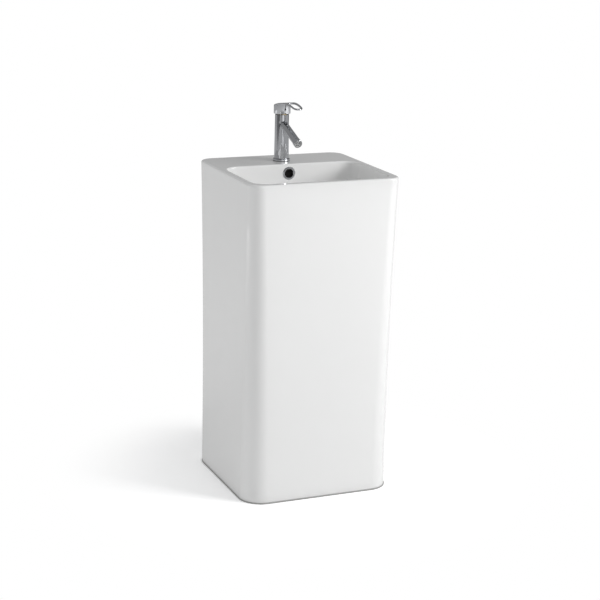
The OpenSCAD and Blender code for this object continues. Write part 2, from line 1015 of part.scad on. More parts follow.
module inlet_nut() {
    top_z = waste_low_z + 12;
    color(plastic)
        at_waste(nut_low_z)
            difference() {
                cylinder(r = waste_tail_r + 5, h = top_z - nut_low_z, $fn = 12);
                translate([0, 0, tube_flange_z - nut_low_z])
                    cylinder(r = waste_tail_r + joint_gap, h = 40);
                translate([0, 0, -1])
                    cylinder(r = pipe_r + slack, h = 40);
            }
}

module inlet_washer() {
    color(dark)
        at_waste(waste_low_z - 2)
            tube(waste_tail_r - 0.3, waste_bore_r, 2);
}

module inlet_tube() {
    color(plastic)
        at_waste()
            rotate_extrude()
                polygon([
                    [pipe_bore_r, cup_low_z + 28], [pipe_r, cup_low_z + 28],
                    [pipe_r, tube_flange_z], [waste_tail_r - 0.3, tube_flange_z],
                    [waste_tail_r - 0.3, tube_flange_z + 3], [pipe_bore_r, tube_flange_z + 3]
                ]);
}

module tube_nut() {
    h = 17;
    color(plastic)
        at_waste(head_top_z - 6)
            difference() {
                cylinder(r = neck_r + 4.5, h = h, $fn = 12);
                translate([0, 0, -1])
                    cylinder(r = neck_r + joint_gap, h = 13);
                translate([0, 0, -1])
                    cylinder(r = pipe_r + slack, h = h + 2);
            }
}

module tube_washer() {
    color(dark)
        at_waste(head_top_z)
            tube(neck_r - 0.2, pipe_r + run_gap, 6);
}

module trap_head() {
    color(plastic)
        difference() {
            union() {
                at_waste(head_low_z)
                    cylinder(r = head_r, h = head_shoulder_z - head_low_z);
                at_waste(head_shoulder_z)
                    cylinder(r1 = head_r, r2 = neck_r, h = 5);
                at_waste(head_shoulder_z)
                    cylinder(r = neck_r, h = head_top_z - head_shoulder_z);
                at_outlet(bowl_y)
                    cylinder(r = neck_r, h = outlet_y - bowl_y);
            }
            at_waste(head_low_z - 1)
                cylinder(r = head_r - 3, h = head_shoulder_z - head_low_z - 1);
            at_waste(head_low_z)
                cylinder(r = pipe_r + slack, h = head_top_z - head_low_z + 1);
            at_outlet(bowl_y)
                cylinder(r = pipe_r + slack, h = outlet_y - bowl_y + 1);
        }
}

module trap_cup() {
    lip = 7;
    ledge_z = head_low_z - 3;
    color(plastic)
        at_waste()
            rotate_extrude()
                polygon([
                    [0, cup_low_z], [cup_r - 12, cup_low_z], [cup_r - 5, cup_low_z + 3],
                    [cup_r, cup_low_z + 12], [cup_r, ledge_z - 3], [cup_r + 3.5, ledge_z],
                    [cup_r + 3.5, ledge_z + lip], [head_r + joint_gap, ledge_z + lip],
                    [head_r + joint_gap, ledge_z], [cup_r - 3.5, ledge_z],
                    [cup_r - 3.5, cup_low_z + 14], [cup_r - 8, cup_low_z + 5],
                    [cup_r - 14, cup_low_z + 3], [0, cup_low_z + 3]
                ]);
}

module cup_seal() {
    color(dark)
        at_waste(head_low_z - 3)
            tube(head_r, head_r - 2.5, 3);
}

module outlet_nut() {
    h = 18;
    color(plastic)
        at_outlet(outlet_y - 6)
            difference() {
                cylinder(r = neck_r + 4.5, h = h, $fn = 12);
                translate([0, 0, -1])
                    cylinder(r = neck_r + joint_gap, h = 13);
                translate([0, 0, -1])
                    cylinder(r = pipe_r + slack, h = h + 2);
            }
}

module outlet_washer() {
    color(dark)
        at_outlet(outlet_y)
            tube(neck_r - 0.2, pipe_r + run_gap, 6);
}

// Its bead stops the end that goes into the wall's socket.
module outlet_tube() {
    color(plastic)
        at_outlet()
            rotate_extrude()
                polygon([
                    [pipe_bore_r, outlet_y - 12], [pipe_r, outlet_y - 12],
                    [pipe_r, wall_y - spigot_out - bead_t], [bead_r, wall_y - spigot_out - bead_t],
                    [bead_r, wall_y - spigot_out], [pipe_r, wall_y - spigot_out],
                    [pipe_r, wall_y], [pipe_bore_r, wall_y]
                ]);
}

// ---- Assembly ----

ceramic_basin();
ceramic_column();
floor_seal();
overflow_ring();
tap_body();
tap_base_ring();
tap_base_seal();
spout_tube();
aerator_housing();
aerator_insert();
aerator_washer();
cartridge_housing();
cartridge_seal();
fixed_disc();
cartridge_nut();
mounting_stud();
horseshoe_rubber();
horseshoe_plate();
stud_nut();
cartridge_carrier();
moving_disc();
pivot_pin();
lever_handle();
lever_spindle();
grub_screw();
index_plug();
waste_body();
waste_upper_seal();
waste_lower_seal();
waste_backnut();
click_guide();
click_spring();
plug_cap();
plug_seal();
plug_stem();
inlet_nut();
inlet_washer();
inlet_tube();
tube_nut();
tube_washer();
trap_head();
trap_cup();
cup_seal();
outlet_nut();
outlet_washer();
outlet_tube();
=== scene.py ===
"""Pedestal sink: glazed ceramic column and basin, mixer tap, push-open waste and bottle trap."""
import json
import math

import bmesh
import bpy
from bpy.props import FloatProperty, FloatVectorProperty, IntProperty, PointerProperty
from mathutils import Matrix, Vector


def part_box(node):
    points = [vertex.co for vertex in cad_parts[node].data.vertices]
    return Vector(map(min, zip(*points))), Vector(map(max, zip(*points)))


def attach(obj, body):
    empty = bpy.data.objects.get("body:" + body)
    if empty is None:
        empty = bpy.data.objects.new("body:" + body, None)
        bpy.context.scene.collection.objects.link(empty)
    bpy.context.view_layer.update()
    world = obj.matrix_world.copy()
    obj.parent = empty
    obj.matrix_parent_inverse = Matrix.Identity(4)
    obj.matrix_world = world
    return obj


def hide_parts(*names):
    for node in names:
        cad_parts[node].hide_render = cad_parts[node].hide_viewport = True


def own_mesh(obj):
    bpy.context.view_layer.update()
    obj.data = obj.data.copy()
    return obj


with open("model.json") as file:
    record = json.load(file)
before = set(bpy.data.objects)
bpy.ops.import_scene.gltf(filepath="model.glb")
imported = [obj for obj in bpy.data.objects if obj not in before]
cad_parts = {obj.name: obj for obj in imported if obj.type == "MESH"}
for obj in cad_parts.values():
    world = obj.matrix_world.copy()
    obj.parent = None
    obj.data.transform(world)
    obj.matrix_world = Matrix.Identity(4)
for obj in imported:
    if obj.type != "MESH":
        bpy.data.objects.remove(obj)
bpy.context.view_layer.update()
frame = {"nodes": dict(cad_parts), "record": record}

bl_info = {
    "name": "Pedestal Sink",
    "version": (1, 0, 0),
    "blender": (4, 5, 0),
    "location": "View3D > Sidebar > Sink",
    "description": "Builds the glazed ceramic, lever, fittings and studio of a pedestal sink",
    "category": "Object",
}

BASIN_LOW, BASIN_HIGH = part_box("ceramic_basin")
COLUMN_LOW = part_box("ceramic_column")[0]
SIDE_X = BASIN_HIGH.x
FRONT_Y = -BASIN_HIGH.y
WALL_Y = BASIN_HIGH.y
RIM_Z = BASIN_HIGH.z
FOOT_Z = COLUMN_LOW.z
RING_LOW, RING_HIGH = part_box("tap_base_ring")
TAP_X = (RING_LOW.x + RING_HIGH.x) / 2
TAP_Y = (RING_LOW.y + RING_HIGH.y) / 2
WASTE_LOW, WASTE_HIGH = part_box("waste_body")
WASTE_Y = (WASTE_LOW.y + WASTE_HIGH.y) / 2
MM = 0.001


# ---- Sizes and colours a user can change ----

def length(name, description, mm):
    """Length property with its default in millimetres."""
    return FloatProperty(name=name, description=description, default=mm * MM, unit="LENGTH")


def colour(name, description, value):
    """Colour property."""
    return FloatVectorProperty(name=name, description=description, subtype="COLOR", size=3,
                               default=value, min=0, max=1)


class SinkCeramicSizes(bpy.types.PropertyGroup):
    """Sizes of the glazed ceramic"""
    lean: length("Front lean", "How far the foot stands back from the rim", 8)
    bow: length("Face bow", "How far the faces bow inwards at half height", 3.5)
    rim_corner: length("Rim corner", "Outline's corner radius at the rim", 38)
    foot_corner: length("Foot corner", "Outline's corner radius at the foot", 60)
    rim_edge: length("Rim edge", "Rounding of the outer rim edge", 5)
    wall: length("Wall", "Ceramic wall thickness", 11)
    rim_width: length("Rim width", "From the outer face to the bowl wall", 19.5)
    deck: length("Deck depth", "From the wall plane to the bowl wall", 146)
    deck_thickness: length("Deck thickness", "Thickness of the deck under the tap", 14)
    bowl_depth: length("Bowl depth", "From the rim to the waste", 122)
    bowl_corner: length("Bowl corner", "Corner radius of the bowl", 42)
    bowl_fillet: length("Bowl fillet", "Radius between wall and floor", 30)
    bowl_edge: length("Bowl edge", "Rounding of the bowl's upper edge", 4)
    bowl_draft: length("Bowl draft", "How far the bowl's walls lean in towards the floor", 3)
    floor_fall: length("Floor fall", "Fall of the bowl's floor to the waste", 9)
    boss: length("Boss radius", "Radius of the boss that carries the waste", 40)
    duct: length("Duct half width", "Half the width of the overflow's duct", 30)
    seat: length("Seat radius", "Radius of the recess under the waste's flange", 33)
    drain: length("Drain radius", "Radius of the waste's hole", 23)
    tap_hole: length("Tap hole radius", "Radius of the tap's hole", 17.5)
    overflow_hole: length("Overflow radius", "Radius of the overflow's hole", 13.5)
    service_half: length("Opening half width", "Half the width of the opening in the back", 115)
    service_low: length("Opening bottom", "Height at which the opening in the back starts", 60)
    service_high: length("Opening top", "Height at which the opening in the back ends", 640)
    service_corner: length("Opening corner", "Corner radius of the opening in the back", 30)
    service_edge: length("Opening edge", "Rounding of the edge of the opening in the back", 3)


class SinkLeverSizes(bpy.types.PropertyGroup):
    """Sizes of the lever"""
    cap: length("Cap radius", "Radius of the lever's cap", 22.5)
    skirt: length("Skirt", "Wall thickness of the cap's skirt", 1.3)
    boss: length("Boss radius", "Radius of the boss that takes the spindle", 8)
    reach: length("Reach", "From the tap's axis to the lever's tip", 118)
    tip: length("Tip radius", "Radius of the rounded tip", 14)
    thickness: length("Thickness", "Thickness of the lever", 4)
    arch: length("Arch radius", "Radius of the lever's arched top", 200)
    arch_reach: length("Arch reach", "Reach at which the arch is highest", 62)
    arch_rise: length("Arch rise", "Height of the arch above the deck", 163)
    hole_radius: length("Hole radius", "Half the width of the loop's hole", 9)
    hole_start: length("Hole start", "Reach at which the hole starts", 58)
    hole_end: length("Hole end", "Reach at which the hole ends", 113)


class SinkDetailSizes(bpy.types.PropertyGroup):
    """Sizes of the repeated details"""
    waste_thread: length("Waste thread radius", "Radius on which the waste's thread lies", 20.75)
    waste_pitch: length("Waste thread pitch", "Pitch of the waste's thread", 2.3)
    stud_pitch: length("Stud thread pitch", "Pitch of the stud's thread", 1.25)
    nut_ribs: IntProperty(name="Nut ribs", description="Grip ribs on each trap nut",
                          default=36, min=6, max=90)
    rib_width: length("Rib width", "Radius of each grip rib", 0.9)
    spring_turns: FloatProperty(name="Spring turns", description="Turns of the waste's spring",
                                default=6, min=2, max=12)
    spring_wire: length("Spring wire", "Radius of the spring's wire", 0.7)
    screen: length("Screen radius", "Radius of the aerator's screen", 8.3)
    screen_pitch: length("Screen pitch", "Pitch of the aerator's screen", 1.5)
    screen_bar: length("Screen bar", "Radius of the screen's bars", 0.22)


class SinkColours(bpy.types.PropertyGroup):
    """Colours of the finishes"""
    glaze: colour("Glaze", "White glaze", (0.86, 0.86, 0.855))
    chrome: colour("Chrome", "Chrome plate", (0.60, 0.61, 0.63))
    steel: colour("Steel", "Brushed steel", (0.50, 0.51, 0.52))
    brass: colour("Brass", "Machined brass", (0.70, 0.53, 0.25))
    plastic: colour("Plastic", "White moulded plastic", (0.80, 0.80, 0.78))
    rubber: colour("Rubber", "Black rubber", (0.022, 0.022, 0.024))
    # Near-black colour of the passage's walls: painted shade for the deep overflow passage, on a
    # real unglazed finish
    clay_with_painted_shade: colour("Clay", "Bare clay inside the overflow passage", (0.07, 0.065, 0.06))
    silicone: colour("Silicone", "Grey floor seal", (0.42, 0.42, 0.41))
    disc: colour("Disc", "Ceramic disc", (0.82, 0.80, 0.74))
    index: colour("Index", "Dark index plug", (0.03, 0.03, 0.035))


class SinkSettings(bpy.types.PropertyGroup):
    """All sizes and colours of the sink"""
    ceramic: PointerProperty(type=SinkCeramicSizes)
    lever: PointerProperty(type=SinkLeverSizes)
    detail: PointerProperty(type=SinkDetailSizes)
    colours: PointerProperty(type=SinkColours)


# ---- Mesh helpers ----

def new_object(name, bm, smooth_angle=35):
    """Object from bm, at the origin, smooth apart from edges sharper than smooth_angle degrees."""
    mesh = bpy.data.meshes.new(name)
    bm.to_mesh(mesh)
    bm.free()
    obj = bpy.data.objects.new(name, mesh)
    bpy.context.scene.collection.objects.link(obj)
    mesh.shade_smooth()
    mesh.set_sharp_from_angle(angle=math.radians(smooth_angle))
    return obj


def add_loft(bm, rings, wrap=False):
    """Faces through rings of equal length, capped; wrap joins the last to the first instead."""
    rows = [[bm.verts.new(p) for p in ring] for ring in rings]
    pairs = list(zip(rows, rows[1:])) + ([(rows[-1], rows[0])] if wrap else [])
    for low, high in pairs:
        for i in range(len(low)):
            k = (i + 1) % len(low)
            bm.faces.new((low[i], low[k], high[k], high[i]))
    if not wrap:
        bm.faces.new(reversed(rows[0]))
        bm.faces.new(rows[-1])


def loft_object(name, rings, smooth_angle=35):
    bm = bmesh.new()
    add_loft(bm, rings)
    bmesh.ops.recalc_face_normals(bm, faces=bm.faces)
    return new_object(name, bm, smooth_angle)


def rounded_ring(x0, x1, y0, y1, r, z, steps=14, side=6):
    """Points of a rounded rectangle at height z, anticlockwise from above."""
    corners = ((x1 - r, y1 - r), (x0 + r, y1 - r), (x0 + r, y0 + r), (x1 - r, y0 + r))
    points = []
    for c, (cx, cy) in enumerate(corners):
        for i in range(steps + 1):
            a = math.radians(90 * c + 90 * i / steps)
            points.append(Vector((cx + r * math.cos(a), cy + r * math.sin(a), z)))
        nx, ny = corners[(c + 1) % 4]
        a = math.radians(90 * (c + 1))
        end = Vector((nx + r * math.cos(a), ny + r * math.sin(a), z))
        start = points[-1].copy()
        for i in range(1, side):
            points.append(start.lerp(end, i / side))
    return points


def boolean(obj, tool):
    """Cuts tool out of obj and removes tool."""
    modifier = obj.modifiers.new("cut", "BOOLEAN")
    modifier.operation = "DIFFERENCE"
    modifier.solver = "MANIFOLD"
    modifier.object = tool
    graph = bpy.context.evaluated_depsgraph_get()
    mesh = bpy.data.meshes.new_from_object(obj.evaluated_get(graph))
    obj.modifiers.remove(modifier)
    if not mesh.polygons:
        raise RuntimeError(f"cutting {obj.name} with {tool.name} left nothing")
    old = obj.data
    obj.data = mesh
    bpy.data.meshes.remove(old)
    bpy.data.objects.remove(tool)


def cylinder_tool(radius, low, high, axis="Z", segments=96):
    """Plain cylinder between two points along an axis, for cutting."""
    bm = bmesh.new()
    rings = []
    for end in (low, high):
        ring = []
        for i in range(segments):
            a = 2 * math.pi * i / segments
            u, v = radius * math.cos(a), radius * math.sin(a)
            ring.append(Vector(end) + (Vector((u, v, 0)) if axis == "Z" else Vector((u, 0, -v))))
        rings.append(ring)
    add_loft(bm, rings)
    bmesh.ops.recalc_face_normals(bm, faces=bm.faces)
    return new_object("tool", bm)


def box_tool(low, high):
    bm = bmesh.new()
    rings = [[Vector((x, y, z)) for x, y in ((low[0], low[1]), (high[0], low[1]),
                                             (high[0], high[1]), (low[0], high[1]))]
             for z in (low[2], high[2])]
    add_loft(bm, rings)
    return new_object("tool", bm)


def finish_piece(obj, material, body, slot, *nodes):
    """Gives obj its material and body, and hides the CAD nodes it stands for. The slot argument is
    not used.
    """
    obj.data.materials.clear()
    obj.data.materials.append(material)
    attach(obj, body)
    if nodes:
        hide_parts(*nodes)


# ---- Materials ----

def make_finish(name, colour, metallic=0.0, roughness=0.4, spread=0.06, grain=40.0,
                bump=0.1, depth=0.00005, coat=0.0, stretch=(1, 1, 1), mottle=0.04, ior=1.5):
    """Procedural finish: colour mottle, roughness spread and a fine bump on Object coordinates."""
    material = bpy.data.materials.get(name)
    if material:
        return material
    material = bpy.data.materials.new(name)
    material.use_nodes = True
    nodes, links = material.node_tree.nodes, material.node_tree.links
    shader = nodes["Principled BSDF"]
    shader.inputs["Metallic"].default_value = metallic
    shader.inputs["IOR"].default_value = ior
    shader.inputs["Coat Weight"].default_value = coat
    shader.inputs["Coat Roughness"].default_value = 0.03
    coords = nodes.new("ShaderNodeTexCoord")
    mapping = nodes.new("ShaderNodeMapping")
    mapping.inputs["Scale"].default_value = stretch
    links.new(coords.outputs["Object"], mapping.inputs["Vector"])

    def noise(scale, detail):
        node = nodes.new("ShaderNodeTexNoise")
        node.inputs["Scale"].default_value = scale
        node.inputs["Detail"].default_value = detail
        links.new(mapping.outputs["Vector"], node.inputs["Vector"])
        return node.outputs["Fac"]

    def ranged(value, low, high):
        node = nodes.new("ShaderNodeMapRange")
        node.inputs["From Min"].default_value = 0.25
        node.inputs["From Max"].default_value = 0.75
        node.inputs["To Min"].default_value = low
        node.inputs["To Max"].default_value = high
        links.new(value, node.inputs["Value"])
        return node.outputs["Result"]

    broad = noise(grain * 0.25, 3)
    fine = noise(grain * 12, 4)
    mix = nodes.new("ShaderNodeMix")
    mix.data_type = "RGBA"
    dark = [c * (1 - mottle) for c in colour]
    mix.inputs["A"].default_value = (*dark, 1)
    mix.inputs["B"].default_value = (*colour, 1)
    links.new(ranged(broad, 0, 1), mix.inputs["Factor"])
    links.new(mix.outputs["Result"], shader.inputs["Base Color"])
    links.new(ranged(fine, max(0.01, roughness - spread), roughness + spread),
              shader.inputs["Roughness"])
    bumps = nodes.new("ShaderNodeBump")
    bumps.inputs["Strength"].default_value = bump
    bumps.inputs["Distance"].default_value = depth
    links.new(fine, bumps.inputs["Height"])
    links.new(bumps.outputs["Normal"], shader.inputs["Normal"])
    return material


def finish_for(slot, colours):
    """The material of a record slot."""
    if slot == "glaze":
        return make_finish("white_glaze", colours.glaze, roughness=0.09, spread=0.03, grain=18,
                           bump=0.05, depth=0.0001, coat=0.5, mottle=0.012, ior=1.52)
    if slot == "chrome":
        return make_finish("polished_chrome", colours.chrome, metallic=1, roughness=0.07,
                           spread=0.025, grain=60, bump=0.03, depth=0.00002, mottle=0.03)
    if slot == "steel":
        return make_finish("brushed_steel", colours.steel, metallic=1, roughness=0.32,
                           spread=0.1, grain=90, bump=0.25, stretch=(1, 1, 0.08), mottle=0.12)
    if slot == "brass":
        return make_finish("machined_brass", colours.brass, metallic=1, roughness=0.28,
                           spread=0.08, grain=80, bump=0.2, stretch=(0.1, 0.1, 1), mottle=0.15)
    if slot == "rubber":
        return make_finish("black_rubber", colours.rubber, roughness=0.62, spread=0.1,
                           grain=70, bump=0.35, mottle=0.25)
    if slot == "silicone":
        return make_finish("grey_silicone", colours.silicone, roughness=0.45, spread=0.08,
                           grain=30, bump=0.3, depth=0.0002, mottle=0.1)
    if slot == "disc":
        return make_finish("lapped_ceramic", colours.disc, roughness=0.2, spread=0.05,
                           grain=50, bump=0.05, mottle=0.05)
    if slot == "plastic":
        return make_finish("moulded_plastic", colours.plastic, roughness=0.34, spread=0.06,
                           grain=60, bump=0.25, depth=0.00008, mottle=0.04, ior=1.46)
    return make_finish("glossy_index", colours.index, roughness=0.12, spread=0.04, grain=60,
                       bump=0.05, coat=0.5, mottle=0.2)


# ---- Ceramic ----

def body_ring(s, z, inset=0.0):
    """The ceramic's outline at height z, moved inwards by inset."""
    t = min(1, (z - FOOT_Z) / (RIM_Z - s.rim_edge - FOOT_Z))
    bow = s.bow * 4 * t * (1 - t)
    r = s.foot_corner + (s.rim_corner - s.foot_corner) * t
    return rounded_ring(-SIDE_X + bow + inset, SIDE_X - bow - inset,
                        FRONT_Y + s.lean * (1 - t) + bow + inset, WALL_Y - inset, r - inset, z)


def bowl_ring(s, z, inset=0.0):
    """The bowl's outline at height z, moved inwards by inset."""
    x = SIDE_X - s.rim_width
    return rounded_ring(-x + inset, x - inset, FRONT_Y + s.rim_width + inset,
                        WALL_Y - s.deck - inset, s.bowl_corner - inset * 0.5, z)


def drain_ring(r, z):
    """Near-round ring about the waste, with as many points as the bowl's rings."""
    return rounded_ring(-r, r, WASTE_Y - r, WASTE_Y + r, r - 1.5 * MM, z)


def dished_ring(edge, drain, share, sag):
    """Ring of the bowl's floor at a share of the way from its edge to the drain, sunk by sag."""
    ring = [p.lerp(q, share) for p, q in zip(edge, drain)]
    return [Vector((p.x, p.y, p.z - sag)) for p in ring]


def bowl_surface(s, grow=0.0):
    """Rings down the bowl's wall and floor; grow gives the ceramic's underside instead."""
    floor_z = RIM_Z - s.bowl_depth
    edge_z = floor_z + s.floor_fall
    f = s.bowl_fillet
    depths = (50,) if grow else (12, 25, 38, 50)
    rings = [bowl_ring(s, RIM_Z - depth * MM, -grow) for depth in depths]
    for i in range(11):
        a = math.radians(90 - 9 * i)
        rings.append(bowl_ring(s, edge_z - grow + f - f * math.cos(a),
                               s.bowl_draft + f - f * math.sin(a) - grow))
    drain = drain_ring(s.seat + 1.5 * MM + grow, floor_z - grow)
    if not grow:
        edge = rings[-1]
        rings += [dished_ring(edge, drain, share, sag * MM)
                  for share, sag in ((0.12, 0.3), (0.35, 0.6), (0.65, 0.5), (0.9, 0.15))]
    return rings + [drain]


def outer_rings(s):
    """Rings from the foot up the faces, over the rim's edge and round the bowl's upper edge."""
    foot_edge = 1.2 * MM
    top_z = RIM_Z - s.rim_edge
    rings = [body_ring(s, FOOT_Z, foot_edge), body_ring(s, FOOT_Z + 0.4 * MM, 0.35 * MM)]
    rings += [body_ring(s, FOOT_Z + foot_edge + (top_z - FOOT_Z - foot_edge) * i / 36)
              for i in range(37)]
    for i in range(1, 9):
        a = math.radians(90 * i / 8)
        rings.append(body_ring(s, top_z + s.rim_edge * math.sin(a), s.rim_edge * (1 - math.cos(a))))
    rings.append(body_ring(s, RIM_Z, s.rim_edge + 1 * MM))
    rings.append(bowl_ring(s, RIM_Z, -s.bowl_edge - 1 * MM))
    for i in range(9):
        a = math.radians(90 - 90 * i / 8)
        rings.append(bowl_ring(s, RIM_Z - s.bowl_edge + s.bowl_edge * math.sin(a),
                               -s.bowl_edge * (1 - math.cos(a))))
    return rings


def hollow_tool(s):
    """Cutter for the column's inside: it leaves the bowl's shell, the boss and the duct."""
    under_z = RIM_Z - s.deck_thickness
    boss_z = BASIN_LOW.z
    floor_z = RIM_Z - s.bowl_depth
    back_y = WALL_Y - s.deck
    slope_z = FOOT_Z + 31 * MM
    rings = [body_ring(s, FOOT_Z + rise * MM, inset * MM)
             for rise, inset in ((-1, 25), (11, 25), (13, 24))]
    rings += [body_ring(s, slope_z + (under_z - slope_z) * i / 24, s.wall) for i in range(25)]
    hollow = loft_object("hollow", rings)
    shell = list(reversed(bowl_surface(s, s.wall)))
    boolean(hollow, loft_object("shell", shell + [bowl_ring(s, under_z + 2 * MM, -s.wall)]))
    boolean(hollow, cylinder_tool(s.boss, (0, WASTE_Y, boss_z), (0, WASTE_Y, floor_z)))
    boolean(hollow, box_tool((-s.duct, back_y, boss_z), (s.duct, back_y + 31 * MM, RIM_Z)))
    boolean(hollow, box_tool((-s.duct, WASTE_Y, boss_z), (s.duct, back_y + 2 * MM, floor_z)))
    return hollow


def service_tool(s):
    """Cutter for the opening in the back, flared so that its edges come out rounded."""
    edge = s.service_edge
    turns = [math.radians(15 * i) for i in range(7)]
    steps = [(-1 * MM, edge)]
    steps += [(edge * (1 - math.cos(a)), edge * (1 - math.sin(a))) for a in turns]
    steps += [(s.wall - edge * math.cos(a), edge * (1 - math.cos(a - math.pi / 2)))
              for a in reversed(turns)]
    steps += [(s.wall, edge), (s.wall + 6 * MM, edge)]
    rings = []
    for y, grow in steps:
        half = s.service_half + grow
        flat = rounded_ring(-half, half, s.service_low - grow, s.service_high + grow,
                            s.service_corner + grow, 0)
        rings.append([Vector((p.x, WALL_Y - y, p.y)) for p in flat])
    return loft_object("opening", rings)


def overflow_passage(s):
    """Low and high corner of the hidden passage behind the bowl's back wall."""
    back_y = WALL_Y - s.deck
    half_width, front, back, above_boss, under_deck = 22 * MM, 11 * MM, 23 * MM, 10 * MM, 2 * MM
    return (Vector((-half_width, back_y + front, BASIN_LOW.z + above_boss)),
            Vector((half_width, back_y + back, RIM_Z - s.deck_thickness - under_deck)))


def make_ceramic(s):
    """One glazed casting: outer faces, rim, deck, bowl, hollow column and all its openings."""
    under_z = RIM_Z - s.deck_thickness
    boss_z = BASIN_LOW.z
    floor_z = RIM_Z - s.bowl_depth
    back_y = WALL_Y - s.deck
    overflow_low, overflow_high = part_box("overflow_ring")
    overflow_z = (overflow_low.z + overflow_high.z) / 2
    ceramic = loft_object("glazed_ceramic", outer_rings(s) + bowl_surface(s), 40)
    boolean(ceramic, hollow_tool(s))
    channel_half, channel_low, channel_high = 14 * MM, boss_z + 10 * MM, boss_z + 22 * MM
    boolean(ceramic, box_tool(*overflow_passage(s)))
    boolean(ceramic, box_tool((-channel_half, WASTE_Y, channel_low),
                              (channel_half, back_y + 12 * MM, channel_high)))
    boolean(ceramic, cylinder_tool(s.overflow_hole, (0, back_y - 5 * MM, overflow_z),
                                   (0, back_y + 12 * MM, overflow_z), "Y"))
    boolean(ceramic, cylinder_tool(s.seat, (0, WASTE_Y, floor_z - 3 * MM),
                                   (0, WASTE_Y, floor_z + 1 * MM)))
    boolean(ceramic, cylinder_tool(s.drain, (0, WASTE_Y, boss_z - 1 * MM),
                                   (0, WASTE_Y, floor_z + 1 * MM)))
    boolean(ceramic, cylinder_tool(s.tap_hole, (TAP_X, TAP_Y, under_z - 5 * MM),
                                   (TAP_X, TAP_Y, RIM_Z + 1 * MM)))
    boolean(ceramic, service_tool(s))
    bolts = [m for m in frame["record"]["mounts"] if m["name"] == "wall_bolts"][0]
    gap = bolts["dims"]["spacing_x_mm"] * MM / 2
    z, depth = bolts["pos_m"][2], 16 * MM
    for x in (-gap, gap):
        boolean(ceramic, cylinder_tool(bolts["dims"]["hole_r_mm"] * MM, (x, WALL_Y - depth, z),
                                       (x, WALL_Y + 2 * MM, z), "Y", 48))
    ceramic.data.shade_smooth()
    ceramic.data.set_sharp_from_angle(angle=math.radians(40))
    return ceramic


def paint_passage_shade(ceramic, s, colours):
    """Gives the walls of the overflow's hidden passage rough unglazed clay, coloured near black as
    painted shade for the deep passage.
    """
    clay_with_painted_shade = make_finish("unglazed_clay_painted_shade", colours.clay_with_painted_shade, roughness=0.8, spread=0.1, grain=60, bump=0.5,
                       depth=0.0003, mottle=0.3)
    ceramic.data.materials.append(clay_with_painted_shade)
    low, high = overflow_passage(s)
    margin = Vector((0.1 * MM, 0.5 * MM, 1 * MM))
    low, high = low - margin, high + margin
    for face in ceramic.data.polygons:
        if all(low[i] < face.center[i] < high[i] for i in range(3)):
            face.material_index = 1


class SINK_OT_ceramic(bpy.types.Operator):
    """Make the glazed ceramic basin and column"""
    bl_idname = "sink.ceramic"
    bl_label = "Glazed Ceramic"

    def execute(self, context):
        settings = context.scene.sink
        ceramic = make_ceramic(settings.ceramic)
        finish_piece(ceramic, finish_for("glaze", settings.colours), "sink", "glaze",
                     "ceramic_basin", "ceramic_column")
        # Paints shade into the overflow passage's unglazed walls
        paint_passage_shade(ceramic, settings.ceramic, settings.colours)
        return {"FINISHED"}


# ---- Lever ----

def lever_height(s, reach, drop=0.0):
    """Height of the arched top at a reach, or of a surface drop below it."""
    across = reach - s.arch_reach
    return RIM_Z + s.arch_rise - s.arch + math.sqrt((s.arch - drop) ** 2 - across ** 2)


def along(points, count):
    """count points spaced evenly along an open line of points, ends included."""
    lengths = [0.0]
    for a, b in zip(points, points[1:]):
        lengths.append(lengths[-1] + (b - a).length)
    made, j = [], 0
    for i in range(count):
        d = lengths[-1] * i / (count - 1)
        while j < len(points) - 2 and lengths[j + 1] < d:
            j += 1
        span = lengths[j + 1] - lengths[j]
        made.append(points[j].lerp(points[j + 1], (d - lengths[j]) / span if span else 0))
    return made


def lever_outlines(s, half=72):
    """Outer outline and hole outline in plan (x, reach), both from the tip round by +x."""
    lean = math.asin((s.cap - s.tip) / (s.reach - s.tip))
    turn = math.pi / 2 - lean
    side = [Vector((s.tip * math.sin(a), s.reach - s.tip + s.tip * math.cos(a)))
            for a in [turn * i / 40 for i in range(41)]]
    side += [Vector((s.cap * math.sin(a), s.cap * math.cos(a)))
             for a in [turn + (math.pi - turn) * i / 60 for i in range(61)]]
    r = s.hole_radius
    hole = [Vector((r * math.sin(a), s.hole_end - r + r * math.cos(a)))
            for a in [math.pi / 2 * i / 24 for i in range(25)]]
    hole += [Vector((r * math.cos(a), s.hole_start + r - r * math.sin(a)))
             for a in [math.pi / 2 * i / 24 for i in range(25)]]
    outer, inner = along(side, half + 1), along(hole, half + 1)
    mirror = [[Vector((-p.x, p.y)) for p in line[-2:0:-1]] for line in (outer, inner)]
    return outer + mirror[0], inner + mirror[1]


def outward(points):
    """Unit normals of a closed outline in plan (x, reach), from the tip round by +x."""
    normals = []
    for i in range(len(points)):
        along_line = points[(i + 1) % len(points)] - points[i - 1]
        normals.append(Vector((-along_line.y, along_line.x)).normalized())
    return normals


